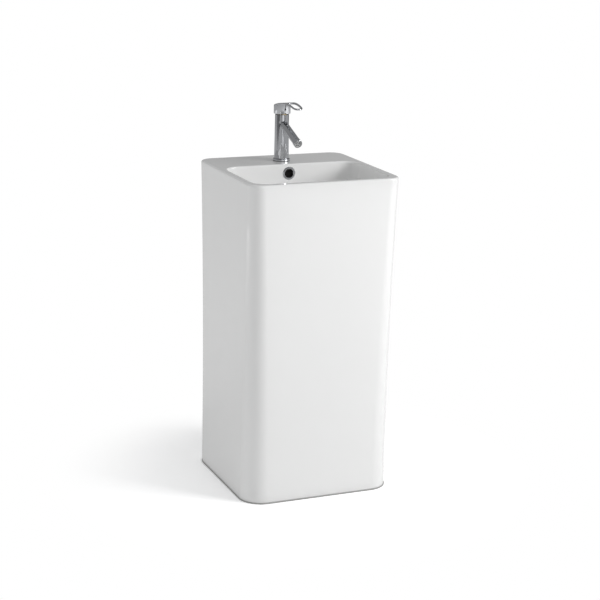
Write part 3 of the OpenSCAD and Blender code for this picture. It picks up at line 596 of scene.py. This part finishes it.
def lever_slab(s):
    """The arched slab with the loop's hole: rings over its top, down the hole, back below."""
    outer, inner = lever_outlines(s)
    out_n, in_n = outward(outer), outward(inner)
    bends, spans, hole_r = 6, 10, 1.8 * MM
    widen = [min(1, max(0, (p.y - 4 * MM) / (34 * MM))) for p in outer]
    top_r = [1.0 * MM + 0.9 * MM * w for w in widen]
    low_r = [0.15 * MM + 1.65 * MM * w for w in widen]
    rings = []

    def ring(points):
        rings.append([Vector((TAP_X + x, TAP_Y - reach, lever_height(s, reach, drop)))
                      for x, reach, drop in points])

    def outer_at(i, inset, drop):
        p = outer[i] - out_n[i] * inset
        return p.x, p.y, drop

    def inner_at(i, inset, drop):
        p = inner[i] + in_n[i] * inset
        return p.x, p.y, drop

    def bend(at, radii, underside, turns):
        for a in turns:
            drops = [r * (1 - math.sin(a)) for r in radii]
            ring([at(i, r * (1 - math.cos(a)), s.thickness - d if underside else d)
                  for i, (r, d) in enumerate(zip(radii, drops))])

    def across(starts, ends, drop):
        for k in range(1, spans):
            f = k / spans
            ring([(x0 + (x1 - x0) * f, y0 + (y1 - y0) * f, drop)
                  for (x0, y0, _), (x1, y1, _) in zip(starts, ends)])

    rising = [math.pi / 2 * k / bends for k in range(bends + 1)]
    falling = [math.pi / 2 * (1 - k / bends) for k in range(bends + 1)]
    hole_radii = [hole_r] * len(outer)
    hole_line = [inner_at(i, hole_r, 0) for i in range(len(inner))]
    bend(outer_at, top_r, False, rising)
    across([outer_at(i, r, 0) for i, r in enumerate(top_r)], hole_line, 0)
    bend(inner_at, hole_radii, False, falling)
    bend(inner_at, hole_radii, True, rising)
    across(hole_line, [outer_at(i, r, 0) for i, r in enumerate(low_r)], s.thickness)
    bend(outer_at, low_r, True, falling)
    bm = bmesh.new()
    add_loft(bm, rings, wrap=True)
    bmesh.ops.recalc_face_normals(bm, faces=bm.faces)
    return new_object("lever", bm, 50)


def lever_skirt(s):
    """Round wall of the cap, up into the slab; None stands for the slab's height."""
    segments = 144
    low_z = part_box("lever_handle")[0].z
    r_out, r_in = s.cap - 0.02 * MM, s.cap - s.skirt
    profile = [(r_in, None), (r_in, low_z + 0.5 * MM), (r_in + 0.3 * MM, low_z),
               (r_out - 0.5 * MM, low_z), (r_out - 0.15 * MM, low_z + 0.15 * MM),
               (r_out, low_z + 0.5 * MM), (r_out, None)]
    loops = []
    for r, z in profile:
        loop = []
        for i in range(segments):
            a = 2 * math.pi * i / segments
            x, reach = r * math.sin(a), r * math.cos(a)
            top = lever_height(s, reach, 3 * MM)
            loop.append(Vector((TAP_X + x, TAP_Y - reach, top if z is None else z)))
        loops.append(loop)
    bm = bmesh.new()
    add_loft(bm, loops, wrap=True)
    bmesh.ops.recalc_face_normals(bm, faces=bm.faces)
    return new_object("skirt", bm, 40)


def make_lever(s):
    """Arched lever with a rounded loop, its cap's skirt, socket and boss, as closed shells."""
    slab, skirt = lever_slab(s), lever_skirt(s)
    socket_depth, grub_r, index_r = 8 * MM, 2.55 * MM, 2.45 * MM
    boss_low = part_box("lever_spindle")[1].z - socket_depth
    boss = cylinder_tool(s.boss, (TAP_X, TAP_Y, boss_low),
                         (TAP_X, TAP_Y, lever_height(s, 0, 3 * MM)))
    plug_low, plug_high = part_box("index_plug")
    plug_z = (plug_low.z + plug_high.z) / 2
    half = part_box("lever_spindle")[1].x - TAP_X + 0.05 * MM
    boolean(boss, box_tool((TAP_X - half, TAP_Y - half, boss_low - 1 * MM),
                           (TAP_X + half, TAP_Y + half, boss_low + 8.5 * MM)))
    boolean(boss, cylinder_tool(grub_r, (TAP_X, TAP_Y - 15 * MM, plug_z),
                                (TAP_X, TAP_Y, plug_z), "Y", 48))
    boolean(skirt, cylinder_tool(index_r, (TAP_X, TAP_Y - 30 * MM, plug_z),
                                 (TAP_X, TAP_Y - 15 * MM, plug_z), "Y", 48))
    return join([slab, skirt, boss])


def join(objects):
    """One object from several, each staying a closed shell."""
    bm = bmesh.new()
    for obj in objects:
        bm.from_mesh(obj.data)
    name = objects[0].name
    for obj in objects:
        bpy.data.objects.remove(obj)
    return new_object(name, bm, 40)


class SINK_OT_lever(bpy.types.Operator):
    """Make the arched lever with its loop and cap"""
    bl_idname = "sink.lever"
    bl_label = "Lever"

    def execute(self, context):
        settings = context.scene.sink
        lever = make_lever(settings.lever)
        finish_piece(lever, finish_for("chrome", settings.colours), "lever", "chrome",
                     "lever_handle")
        return {"FINISHED"}


# ---- Geometry Nodes for what repeats ----

def node_group(name, inputs):
    """Empty geometry tree with named float or int inputs, and its input and output nodes."""
    tree = bpy.data.node_groups.new(name, "GeometryNodeTree")
    tree.interface.new_socket("Geometry", in_out="OUTPUT", socket_type="NodeSocketGeometry")
    for label, kind, value in inputs:
        socket = tree.interface.new_socket(label, in_out="INPUT", socket_type="NodeSocket" + kind)
        socket.default_value = value
    return tree, tree.nodes.new("NodeGroupInput"), tree.nodes.new("NodeGroupOutput")


def end_tree(tree, last, out, material):
    """Realises instances, sets the material and joins them to the output."""
    realise = tree.nodes.new("GeometryNodeRealizeInstances")
    setter = tree.nodes.new("GeometryNodeSetMaterial")
    setter.inputs["Material"].default_value = material
    tree.links.new(last, realise.inputs["Geometry"])
    tree.links.new(realise.outputs["Geometry"], setter.inputs["Geometry"])
    tree.links.new(setter.outputs["Geometry"], out.inputs["Geometry"])


def run_tree(name, tree, values, place, smooth_angle=40):
    """Evaluates a tree with the given inputs and returns a plain mesh object moved to place."""
    host = bpy.data.objects.new(name + "_host", bpy.data.meshes.new(name))
    bpy.context.scene.collection.objects.link(host)
    modifier = host.modifiers.new("nodes", "NODES")
    modifier.node_group = tree
    for item in tree.interface.items_tree:
        if item.item_type == "SOCKET" and item.in_out == "INPUT" and item.name in values:
            modifier[item.identifier] = values[item.name]
    graph = bpy.context.evaluated_depsgraph_get()
    mesh = bpy.data.meshes.new_from_object(host.evaluated_get(graph))
    bpy.data.objects.remove(host)
    if not mesh.polygons:
        raise RuntimeError(f"{name} came out empty")
    bm = bmesh.new()
    bm.from_mesh(mesh)
    bpy.data.meshes.remove(mesh)
    bmesh.ops.remove_doubles(bm, verts=bm.verts, dist=1e-7)
    bmesh.ops.recalc_face_normals(bm, faces=bm.faces)
    bm.transform(place)
    return new_object(name, bm, smooth_angle)


def math_node(tree, operation, a, b):
    node = tree.nodes.new("ShaderNodeMath")
    node.operation = operation
    for socket, value in zip(node.inputs, (a, b)):
        if isinstance(value, (int, float)):
            socket.default_value = value
        else:
            tree.links.new(value, socket)
    return node.outputs[0]


def thread_tree(material):
    """Thread: a triangular ridge wound round Z, from its radius, pitch and length."""
    tree, given, out = node_group("thread", [
        ("Radius", "Float", 0.02), ("Pitch", "Float", 0.002), ("Length", "Float", 0.02)])
    spiral = tree.nodes.new("GeometryNodeCurveSpiral")
    spiral.inputs["Resolution"].default_value = 48
    turns = math_node(tree, "DIVIDE", given.outputs["Length"], given.outputs["Pitch"])
    tree.links.new(turns, spiral.inputs["Rotations"])
    tree.links.new(given.outputs["Radius"], spiral.inputs["Start Radius"])
    tree.links.new(given.outputs["Radius"], spiral.inputs["End Radius"])
    tree.links.new(given.outputs["Length"], spiral.inputs["Height"])
    ridge = tree.nodes.new("GeometryNodeCurvePrimitiveCircle")
    ridge.inputs["Resolution"].default_value = 4
    tree.links.new(math_node(tree, "MULTIPLY", given.outputs["Pitch"], 0.36), ridge.inputs["Radius"])
    sweep = tree.nodes.new("GeometryNodeCurveToMesh")
    sweep.inputs["Fill Caps"].default_value = True
    tree.links.new(spiral.outputs["Curve"], sweep.inputs["Curve"])
    tree.links.new(ridge.outputs["Curve"], sweep.inputs["Profile Curve"])
    end_tree(tree, sweep.outputs["Mesh"], out, material)
    return tree


def rib_tree(material):
    """Grip ribs: small bars set round a circle, from its radius, count and length."""
    tree, given, out = node_group("ribs", [
        ("Radius", "Float", 0.025), ("Count", "Int", 36), ("Length", "Float", 0.01),
        ("Width", "Float", 0.001)])
    circle = tree.nodes.new("GeometryNodeMeshCircle")
    tree.links.new(given.outputs["Count"], circle.inputs["Vertices"])
    tree.links.new(given.outputs["Radius"], circle.inputs["Radius"])
    bar = tree.nodes.new("GeometryNodeMeshCylinder")
    bar.inputs["Vertices"].default_value = 8
    tree.links.new(given.outputs["Width"], bar.inputs["Radius"])
    tree.links.new(given.outputs["Length"], bar.inputs["Depth"])
    points = tree.nodes.new("GeometryNodeInstanceOnPoints")
    tree.links.new(circle.outputs["Mesh"], points.inputs["Points"])
    tree.links.new(bar.outputs["Mesh"], points.inputs["Instance"])
    end_tree(tree, points.outputs["Instances"], out, material)
    return tree


def screen_tree(material):
    """Aerator screen: a square mesh of bars inside a circle, from its radius and pitch."""
    tree, given, out = node_group("screen", [
        ("Radius", "Float", 0.009), ("Pitch", "Float", 0.0015), ("Bar", "Float", 0.0003)])
    count = math_node(tree, "ADD", math_node(tree, "DIVIDE", math_node(
        tree, "MULTIPLY", given.outputs["Radius"], 2), given.outputs["Pitch"]), 1)
    width = math_node(tree, "MULTIPLY", given.outputs["Radius"], 2)
    grid = tree.nodes.new("GeometryNodeMeshGrid")
    for label in ("Size X", "Size Y"):
        tree.links.new(width, grid.inputs[label])
    for label in ("Vertices X", "Vertices Y"):
        tree.links.new(count, grid.inputs[label])
    place = tree.nodes.new("GeometryNodeInputPosition")
    length = tree.nodes.new("ShaderNodeVectorMath")
    length.operation = "LENGTH"
    tree.links.new(place.outputs["Position"], length.inputs[0])
    outside = tree.nodes.new("FunctionNodeCompare")
    outside.data_type = "FLOAT"
    outside.operation = "GREATER_THAN"
    tree.links.new(length.outputs["Value"], outside.inputs[0])
    tree.links.new(given.outputs["Radius"], outside.inputs[1])
    trim = tree.nodes.new("GeometryNodeDeleteGeometry")
    trim.domain = "POINT"
    tree.links.new(grid.outputs["Mesh"], trim.inputs["Geometry"])
    tree.links.new(outside.outputs["Result"], trim.inputs["Selection"])
    curves = tree.nodes.new("GeometryNodeMeshToCurve")
    tree.links.new(trim.outputs["Geometry"], curves.inputs["Mesh"])
    profile = tree.nodes.new("GeometryNodeCurvePrimitiveCircle")
    profile.inputs["Resolution"].default_value = 4
    tree.links.new(given.outputs["Bar"], profile.inputs["Radius"])
    sweep = tree.nodes.new("GeometryNodeCurveToMesh")
    sweep.inputs["Fill Caps"].default_value = True
    tree.links.new(curves.outputs["Curve"], sweep.inputs["Curve"])
    tree.links.new(profile.outputs["Curve"], sweep.inputs["Profile Curve"])
    end_tree(tree, sweep.outputs["Mesh"], out, material)
    return tree


class SINK_OT_threads(bpy.types.Operator):
    """Wind the threads of the waste and of the mounting stud"""
    bl_idname = "sink.threads"
    bl_label = "Threads"

    def execute(self, context):
        settings = context.scene.sink
        detail, colours = settings.detail, settings.colours
        chrome, steel = finish_for("chrome", colours), finish_for("steel", colours)
        nut_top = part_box("inlet_nut")[1].z
        back_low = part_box("waste_backnut")[0].z
        waste = run_tree("waste_thread", thread_tree(chrome), {
            "Radius": detail.waste_thread, "Pitch": detail.waste_pitch,
            "Length": back_low - nut_top - 3 * MM,
        }, Matrix.Translation((0, WASTE_Y, nut_top + 1.5 * MM)))
        finish_piece(waste, chrome, "sink", "chrome")
        low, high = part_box("mounting_stud")
        centre = (low + high) / 2
        stud = run_tree("stud_thread", thread_tree(steel), {
            "Radius": (high.x - low.x) / 2 - 0.15 * MM, "Pitch": detail.stud_pitch,
            "Length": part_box("stud_nut")[0].z - low.z - 1.5 * MM,
        }, Matrix.Translation((centre.x, centre.y, low.z + 0.6 * MM)))
        finish_piece(stud, steel, "sink", "steel")
        return {"FINISHED"}


def coil_tree(material):
    """Compression spring: round wire wound round Z, from its radius, turns, height and wire."""
    tree, given, out = node_group("coil", [
        ("Radius", "Float", 0.006), ("Turns", "Float", 5.0), ("Height", "Float", 0.03),
        ("Wire", "Float", 0.0008)])
    spiral = tree.nodes.new("GeometryNodeCurveSpiral")
    spiral.inputs["Resolution"].default_value = 48
    for label, socket in (("Turns", "Rotations"), ("Radius", "Start Radius"),
                          ("Radius", "End Radius"), ("Height", "Height")):
        tree.links.new(given.outputs[label], spiral.inputs[socket])
    wire = tree.nodes.new("GeometryNodeCurvePrimitiveCircle")
    wire.inputs["Resolution"].default_value = 12
    tree.links.new(given.outputs["Wire"], wire.inputs["Radius"])
    sweep = tree.nodes.new("GeometryNodeCurveToMesh")
    sweep.inputs["Fill Caps"].default_value = True
    tree.links.new(spiral.outputs["Curve"], sweep.inputs["Curve"])
    tree.links.new(wire.outputs["Curve"], sweep.inputs["Profile Curve"])
    end_tree(tree, sweep.outputs["Mesh"], out, material)
    return tree


class SINK_OT_spring(bpy.types.Operator):
    """Wind the waste's spring at one length; on the real waste it shortens as the plug goes down"""
    bl_idname = "sink.spring"
    bl_label = "Waste Spring"

    def execute(self, context):
        settings = context.scene.sink
        steel = finish_for("steel", settings.colours)
        low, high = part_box("click_spring")
        wire = settings.detail.spring_wire
        spring = run_tree("waste_spring", coil_tree(steel), {
            "Radius": (high.x - low.x) / 2 - wire, "Turns": settings.detail.spring_turns,
            "Height": high.z - low.z - 2.2 * wire, "Wire": wire,
        }, Matrix.Translation((0, WASTE_Y, low.z + 1.1 * wire)))
        finish_piece(spring, steel, "sink", "steel", "click_spring")
        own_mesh(spring)
        return {"FINISHED"}


class SINK_OT_ribs(bpy.types.Operator):
    """Set grip ribs round the trap's nuts and cup"""
    bl_idname = "sink.ribs"
    bl_label = "Grip Ribs"

    def execute(self, context):
        settings = context.scene.sink
        plastic = finish_for("plastic", settings.colours)
        tree = rib_tree(plastic)
        for node, along_y, share in (("inlet_nut", False, 0.7), ("tube_nut", False, 0.6),
                                     ("outlet_nut", True, 0.6), ("trap_cup", False, 0.06)):
            low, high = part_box(node)
            centre = (low + high) / 2
            length = (high.y - low.y) if along_y else (high.z - low.z)
            radius = (high.x - low.x) / 2 * 0.985
            if node == "trap_cup":
                centre.z = high.z - 3.6 * MM
            turn = Matrix.Rotation(math.pi / 2, 4, "X") if along_y else Matrix.Identity(4)
            ribs = run_tree(node + "_ribs", tree, {
                "Radius": radius, "Count": settings.detail.nut_ribs, "Length": length * share,
                "Width": settings.detail.rib_width,
            }, Matrix.Translation(centre) @ turn)
            finish_piece(ribs, plastic, "sink", "plastic")
        return {"FINISHED"}


class SINK_OT_screen(bpy.types.Operator):
    """Fit the aerator's screen into the end of the spout"""
    bl_idname = "sink.screen"
    bl_label = "Aerator Screen"

    def execute(self, context):
        settings = context.scene.sink
        detail = settings.detail
        steel = finish_for("steel", settings.colours)
        low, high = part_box("aerator_housing")
        spout_angle = math.radians(20)
        direction = Vector((0, -math.cos(spout_angle), -math.sin(spout_angle)))
        middle = (low + high) / 2
        place = Matrix.Translation(middle + direction * 6.2 * MM) @ \
            direction.to_track_quat("Z", "Y").to_matrix().to_4x4()
        screen = run_tree("aerator_screen", screen_tree(steel), {
            "Radius": detail.screen, "Pitch": detail.screen_pitch, "Bar": detail.screen_bar,
        }, place)
        finish_piece(screen, steel, "sink", "steel")
        return {"FINISHED"}


class SINK_OT_fittings(bpy.types.Operator):
    """Give each fitting that keeps its own solid its finish"""
    bl_idname = "sink.fittings"
    bl_label = "Finish Fittings"

    def execute(self, context):
        colours = context.scene.sink.colours
        slots = {row["node"]: row["material_slot"] for row in frame["record"]["subparts"]}
        for name, obj in frame["nodes"].items():
            material = finish_for(slots[name], colours)
            if not obj.data.materials:
                obj.data.materials.append(material)
            for i in range(len(obj.data.materials)):
                obj.data.materials[i] = material
        return {"FINISHED"}


# ---- Stage ----

def place_camera(scene):
    """Camera at the front left, a little above the rim and turned a little about its own axis."""
    location = Vector((-1.6372, -3.9230, 1.6156))
    target = Vector((0.0183, 0.0109, 0.4863))
    roll = math.radians(1.2107)
    back = (location - target).normalized()
    level = Vector((0, 0, 1)).cross(back).normalized()
    right = level * math.cos(roll) + back.cross(level) * math.sin(roll)
    up = back.cross(right)
    camera = bpy.data.cameras.new("camera")
    camera.lens = 98.17
    camera.sensor_width = 36
    obj = bpy.data.objects.new("camera", camera)
    obj.matrix_world = Matrix.Translation(location) @ Matrix((right, up, back)).transposed().to_4x4()
    scene.collection.objects.link(obj)
    scene.camera = obj


def add_lamp(scene, name, location, target, size, watts):
    lamp = bpy.data.lights.new(name, "AREA")
    lamp.shape = "RECTANGLE"
    lamp.size, lamp.size_y = size
    lamp.energy = watts
    obj = bpy.data.objects.new(name, lamp)
    obj.location = location
    obj.rotation_euler = (Vector(target) - Vector(location)).to_track_quat("-Z", "Y").to_euler()
    scene.collection.objects.link(obj)
    return obj


def make_world(scene):
    """White to the camera, plain light on the object, and a studio with dark sides in gloss."""
    world = bpy.data.worlds.new("studio")
    world.use_nodes = True
    scene.world = world
    nodes, links = world.node_tree.nodes, world.node_tree.links
    nodes.clear()
    out = nodes.new("ShaderNodeOutputWorld")
    path = nodes.new("ShaderNodeLightPath")
    coords = nodes.new("ShaderNodeTexCoord")
    split = nodes.new("ShaderNodeSeparateXYZ")
    links.new(coords.outputs["Generated"], split.inputs["Vector"])
    angle = nodes.new("ShaderNodeMath")
    angle.operation = "ARCTAN2"
    links.new(split.outputs["Y"], angle.inputs[0])
    links.new(split.outputs["X"], angle.inputs[1])
    turn = nodes.new("ShaderNodeMapRange")
    turn.inputs["From Min"].default_value = -math.pi
    turn.inputs["From Max"].default_value = math.pi
    links.new(angle.outputs["Value"], turn.inputs["Value"])
    ramp = nodes.new("ShaderNodeValToRGB")
    links.new(turn.outputs["Result"], ramp.inputs["Fac"])
    stops = ramp.color_ramp.elements
    bands = [(0.0, 0.16), (0.10, 0.10), (0.19, 0.24), (0.225, 1.0), (0.275, 1.0), (0.31, 0.16),
             (0.38, 0.30), (0.47, 0.62), (0.52, 0.16), (0.62, 0.22), (0.72, 0.28), (0.86, 0.30),
             (1.0, 0.16)]
    stops[0].position, stops[1].position = bands[0][0], bands[-1][0]
    for position, value in bands[1:-1]:
        stops.new(position)
    for stop, (position, value) in zip(stops, bands):
        stop.position = position
        stop.color = (value, value, value * 1.01, 1)
    plain = nodes.new("ShaderNodeBackground")
    plain.inputs["Color"].default_value = (0.99, 0.995, 1, 1)
    height = nodes.new("ShaderNodeMapRange")
    height.inputs["From Min"].default_value = -0.2
    height.inputs["From Max"].default_value = 0.9
    height.inputs["To Min"].default_value = 0.70
    height.inputs["To Max"].default_value = 0.48
    links.new(split.outputs["Z"], height.inputs["Value"])
    links.new(height.outputs["Result"], plain.inputs["Strength"])
    gloss = nodes.new("ShaderNodeBackground")
    links.new(ramp.outputs["Color"], gloss.inputs["Color"])
    gloss.inputs["Strength"].default_value = 1.0
    white = nodes.new("ShaderNodeBackground")
    white.inputs["Strength"].default_value = 1.0
    white.inputs["Color"].default_value = (1, 1, 1, 1)
    lighting = nodes.new("ShaderNodeMixShader")
    links.new(path.outputs["Is Glossy Ray"], lighting.inputs["Fac"])
    links.new(plain.outputs["Background"], lighting.inputs[1])
    links.new(gloss.outputs["Background"], lighting.inputs[2])
    shown = nodes.new("ShaderNodeMixShader")
    links.new(path.outputs["Is Camera Ray"], shown.inputs["Fac"])
    links.new(lighting.outputs["Shader"], shown.inputs[1])
    links.new(white.outputs["Background"], shown.inputs[2])
    links.new(shown.outputs["Shader"], out.inputs["Surface"])


def make_floor(scene):
    """Pale floor that keeps the object's soft shadow and fades to white around it."""
    bm = bmesh.new()
    bmesh.ops.create_grid(bm, x_segments=1, y_segments=1, size=6)
    floor = new_object("floor", bm)
    material = bpy.data.materials.new("pale_floor")
    material.use_nodes = True
    nodes, links = material.node_tree.nodes, material.node_tree.links
    nodes.remove(nodes["Principled BSDF"])
    diffuse = nodes.new("ShaderNodeBsdfDiffuse")
    white = nodes.new("ShaderNodeEmission")
    white.inputs["Color"].default_value = (1, 1, 1, 1)
    white.inputs["Strength"].default_value = 1.0
    path = nodes.new("ShaderNodeLightPath")
    shade = nodes.new("ShaderNodeMix")
    shade.data_type = "RGBA"
    shade.inputs["A"].default_value = (0.9, 0.9, 0.9, 1)
    shade.inputs["B"].default_value = (1.5, 1.5, 1.5, 1)
    links.new(path.outputs["Is Camera Ray"], shade.inputs["Factor"])
    links.new(shade.outputs["Result"], diffuse.inputs["Color"])
    coords = nodes.new("ShaderNodeTexCoord")
    distance = nodes.new("ShaderNodeVectorMath")
    distance.operation = "LENGTH"
    links.new(coords.outputs["Object"], distance.inputs[0])
    fade = nodes.new("ShaderNodeMapRange")
    fade.interpolation_type = "SMOOTHSTEP"
    fade.inputs["From Min"].default_value = 0.30
    fade.inputs["From Max"].default_value = 0.66
    links.new(distance.outputs["Value"], fade.inputs["Value"])
    seen = nodes.new("ShaderNodeMath")
    seen.operation = "MAXIMUM"
    links.new(path.outputs["Is Camera Ray"], seen.inputs[0])
    links.new(path.outputs["Is Transmission Ray"], seen.inputs[1])
    share = nodes.new("ShaderNodeMath")
    share.operation = "MULTIPLY"
    links.new(fade.outputs["Result"], share.inputs[0])
    links.new(seen.outputs["Value"], share.inputs[1])
    mix = nodes.new("ShaderNodeMixShader")
    links.new(share.outputs["Value"], mix.inputs["Fac"])
    links.new(diffuse.outputs["BSDF"], mix.inputs[1])
    links.new(white.outputs["Emission"], mix.inputs[2])
    links.new(mix.outputs["Shader"], nodes["Material Output"].inputs["Surface"])
    floor.data.materials.append(material)


class SINK_OT_stage(bpy.types.Operator):
    """Set up the floor, lamps, world and camera"""
    bl_idname = "sink.stage"
    bl_label = "Stage"

    def execute(self, context):
        scene = context.scene
        scene.view_settings.view_transform = "Standard"
        make_world(scene)
        make_floor(scene)
        add_lamp(scene, "key", (2.7, -2.3, 2.2), (0, 0, 0.45), (1.6, 1.6), 82)
        fill = add_lamp(scene, "fill", (-2.6, 1.5, 0.45), (0, 0, 0.45), (1.2, 1.2), 12)
        fill.visible_glossy = False
        place_camera(scene)
        return {"FINISHED"}


class SINK_PT_panel(bpy.types.Panel):
    """Lists the sink's pieces and sizes"""
    bl_label = "Pedestal Sink"
    bl_idname = "SINK_PT_panel"
    bl_space_type = "VIEW_3D"
    bl_region_type = "UI"
    bl_category = "Sink"

    def draw(self, context):
        settings = context.scene.sink
        for group in (settings.ceramic, settings.lever, settings.detail, settings.colours):
            box = self.layout.box()
            for prop in group.bl_rna.properties:
                if prop.identifier not in ("rna_type", "name"):
                    box.prop(group, prop.identifier)
        for operator in OPERATORS:
            self.layout.operator(operator.bl_idname)


OPERATORS = (SINK_OT_stage, SINK_OT_fittings, SINK_OT_ceramic, SINK_OT_lever,
             SINK_OT_threads, SINK_OT_spring, SINK_OT_ribs, SINK_OT_screen)
CLASSES = (SinkCeramicSizes, SinkLeverSizes, SinkDetailSizes, SinkColours, SinkSettings,
           *OPERATORS, SINK_PT_panel)


def register():
    for cls in CLASSES:
        bpy.utils.register_class(cls)
    bpy.types.Scene.sink = PointerProperty(type=SinkSettings)


def unregister():
    del bpy.types.Scene.sink
    for cls in reversed(CLASSES):
        bpy.utils.unregister_class(cls)


def main():
    register()
    for operator in OPERATORS:
        name = operator.bl_idname.split(".")[1]
        getattr(bpy.ops.sink, name)()


if __name__ == "__main__":
    main()
